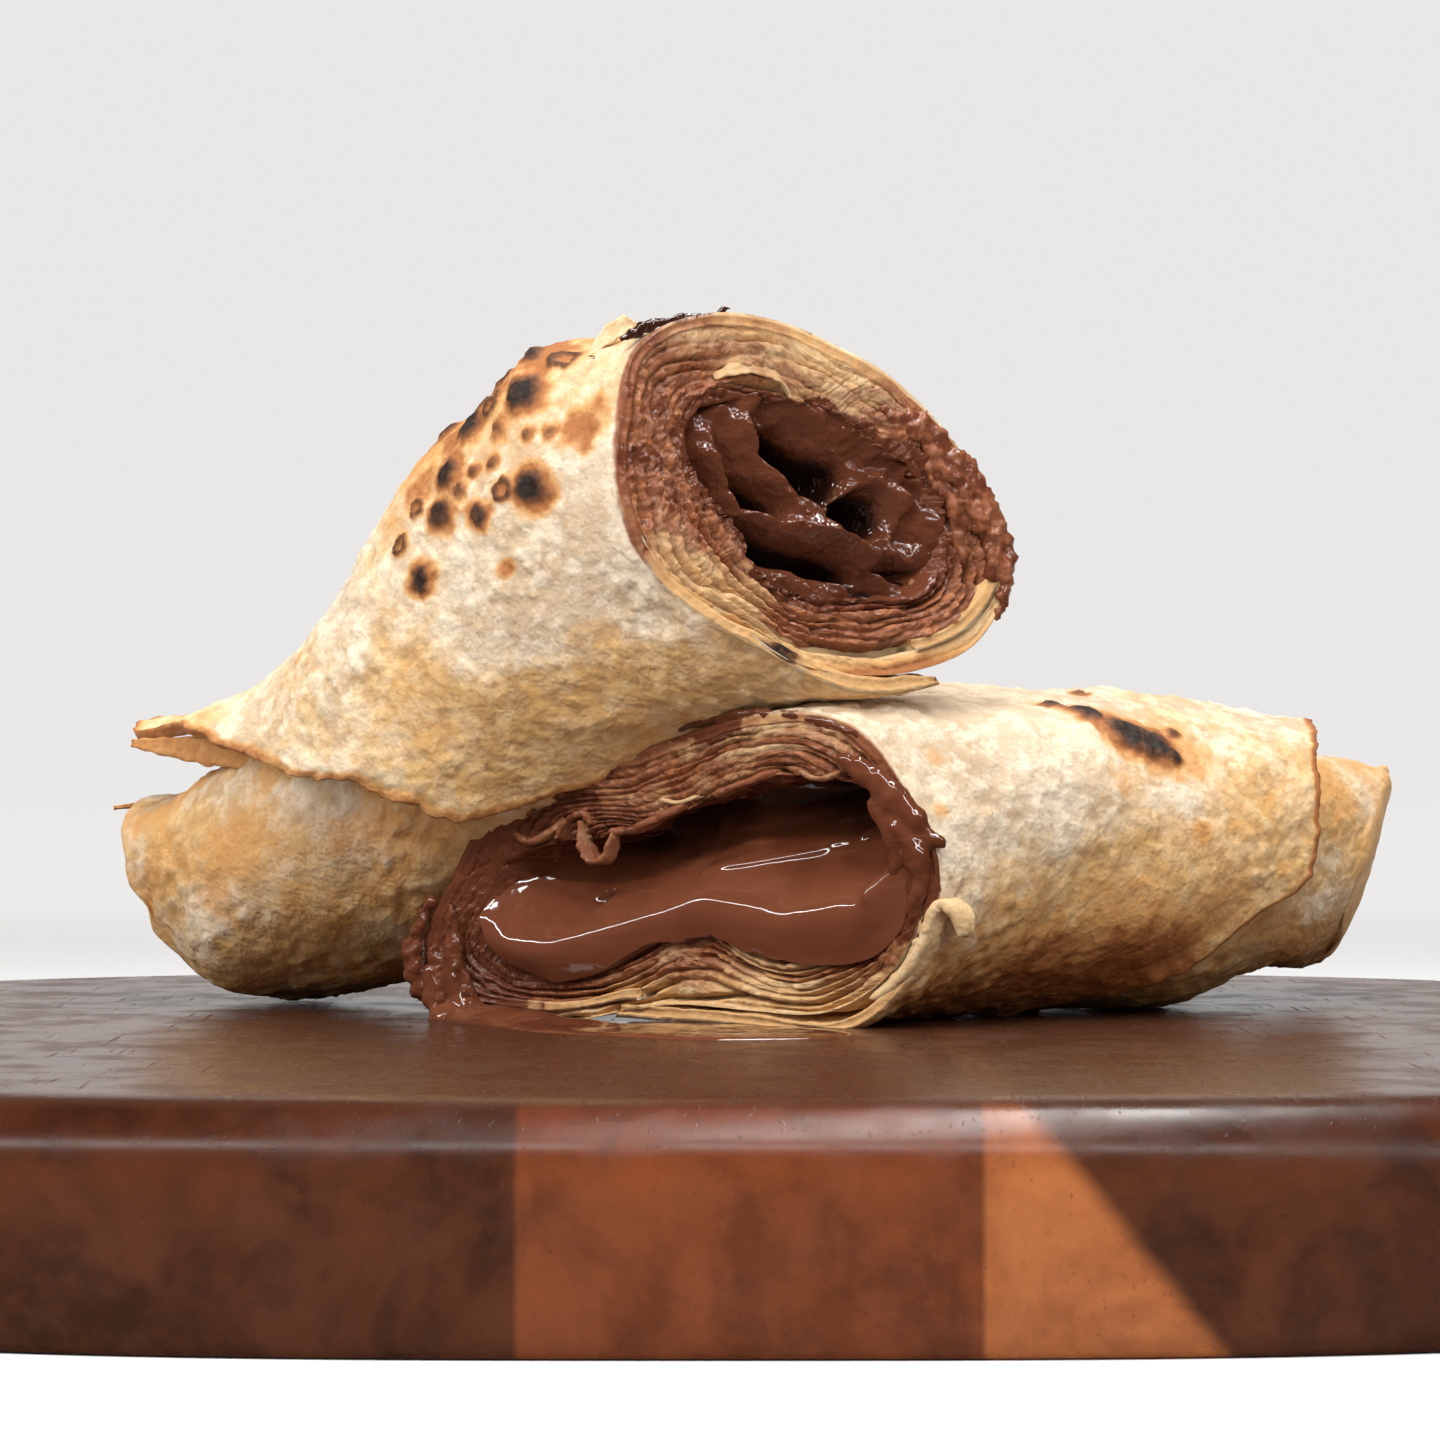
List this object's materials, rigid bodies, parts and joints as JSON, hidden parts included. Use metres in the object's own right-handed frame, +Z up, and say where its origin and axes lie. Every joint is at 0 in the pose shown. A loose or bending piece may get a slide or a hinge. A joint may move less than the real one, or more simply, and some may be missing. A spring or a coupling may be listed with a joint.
{
  "type": "chocolate chapati",
  "caption": "Rolled chocolate-filled flatbread, cut slantwise in two, the halves stacked on a wooden serving board.",
  "frame": {"origin": "middle of the board's underside", "axes": "+Z up, +X to the right along the board as the cut faces are seen, +Y away from the viewer"},
  "size_m": [0.34, 0.29, 0.1348],
  "materials": {
    "board": "dark oiled, semi-gloss",
    "chapati": "matt baked bread, stands in for food",
    "chocolate": "glossy soft chocolate, stands in for food"
  },
  "bodies": {
    "root": {"board": "board", "lower_chapati": "chapati", "lower_chocolate": "chocolate", "upper_chapati": "chapati", "upper_chocolate": "chocolate"}
  },
  "joints": []
}
